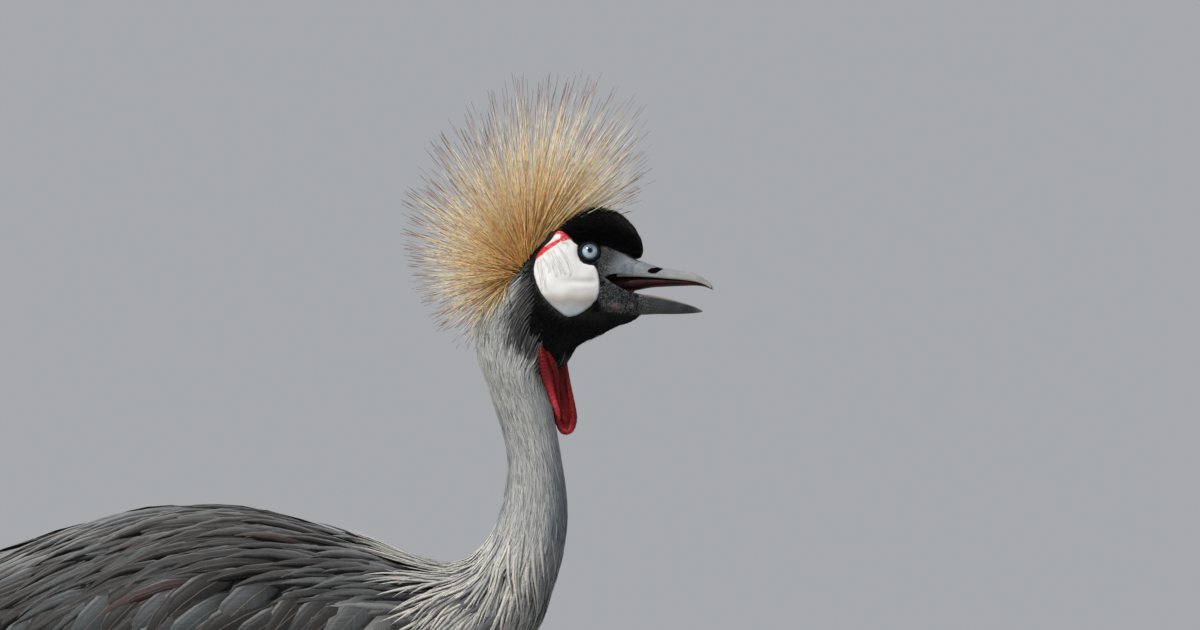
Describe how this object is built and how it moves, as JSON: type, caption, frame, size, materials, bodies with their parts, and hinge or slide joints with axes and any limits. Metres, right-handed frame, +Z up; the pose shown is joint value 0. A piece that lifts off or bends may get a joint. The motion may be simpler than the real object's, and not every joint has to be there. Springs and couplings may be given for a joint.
{
  "type": "grey crowned crane, standing, life-size model",
  "caption": "Life-size grey crowned crane standing on both feet, bill parted, with a stiff golden crest, red throat wattle and folded wings.",
  "frame": {"origin": "on the floor, under the middle of the whole bird's box", "axes": "+X ahead, towards the bill; +Y to the bird's left; +Z up"},
  "size_m": [0.7756, 0.2034, 0.9779],
  "materials": {
    "velvet": "matt black, short plush feathers",
    "cheek_skin": "bare white skin with fine creases, scarlet upper edge",
    "eye": "wet gloss, pale blue iris, black pupil",
    "bill": "grey horn, satin, paler at the tip",
    "mouth_lining": "moist dark red-brown",
    "wattle": "bare red skin, satin, finely grained",
    "crest": "stiff straw-gold bristles with dark tips",
    "neck_plumage": "silky pale grey hackles, streaked darker",
    "body_plumage": "grey contour feathers",
    "mantle": "slate grey lanceolate feathers with pale shafts",
    "white_coverts": "white feathers",
    "straw_plumes": "loose straw-gold plumes",
    "chestnut_flight": "dark chestnut vanes",
    "black_flight": "black vanes with a faint gloss",
    "leg_skin": "dark grey-black scaly skin",
    "claw": "black horn, satin"
  },
  "bodies": {
    "root": {"head": "velvet", "forehead_cushion": "velvet", "cheek_right": "cheek_skin", "cheek_left": "cheek_skin", "eye_right": "eye", "eye_left": "eye", "upper_bill": "bill", "lower_bill": "bill", "palate": "mouth_lining", "tongue": "mouth_lining", "gular_wattle": "wattle", "crest": "crest", "neck_top": "neck_plumage", "neck_middle": "neck_plumage", "neck_base": "neck_plumage", "torso": "body_plumage", "thigh_right": "body_plumage", "thigh_left": "body_plumage", "scapulars_right": "mantle", "scapulars_left": "mantle", "coverts_right": "white_coverts", "coverts_left": "white_coverts", "plumes_right": "straw_plumes", "plumes_left": "straw_plumes", "secondaries_right": "chestnut_flight", "secondaries_left": "chestnut_flight", "primaries_right": "black_flight", "primaries_left": "black_flight", "tail": "black_flight", "shank_right": "leg_skin", "shank_left": "leg_skin", "hock_right": "leg_skin", "hock_left": "leg_skin", "tarsus_right": "leg_skin", "tarsus_left": "leg_skin", "foot_right": "leg_skin", "foot_left": "leg_skin", "claw_inner_right": "claw", "claw_middle_right": "claw", "claw_outer_right": "claw", "claw_hind_right": "claw", "claw_inner_left": "claw", "claw_middle_left": "claw", "claw_outer_left": "claw", "claw_hind_left": "claw"}
  },
  "joints": []
}
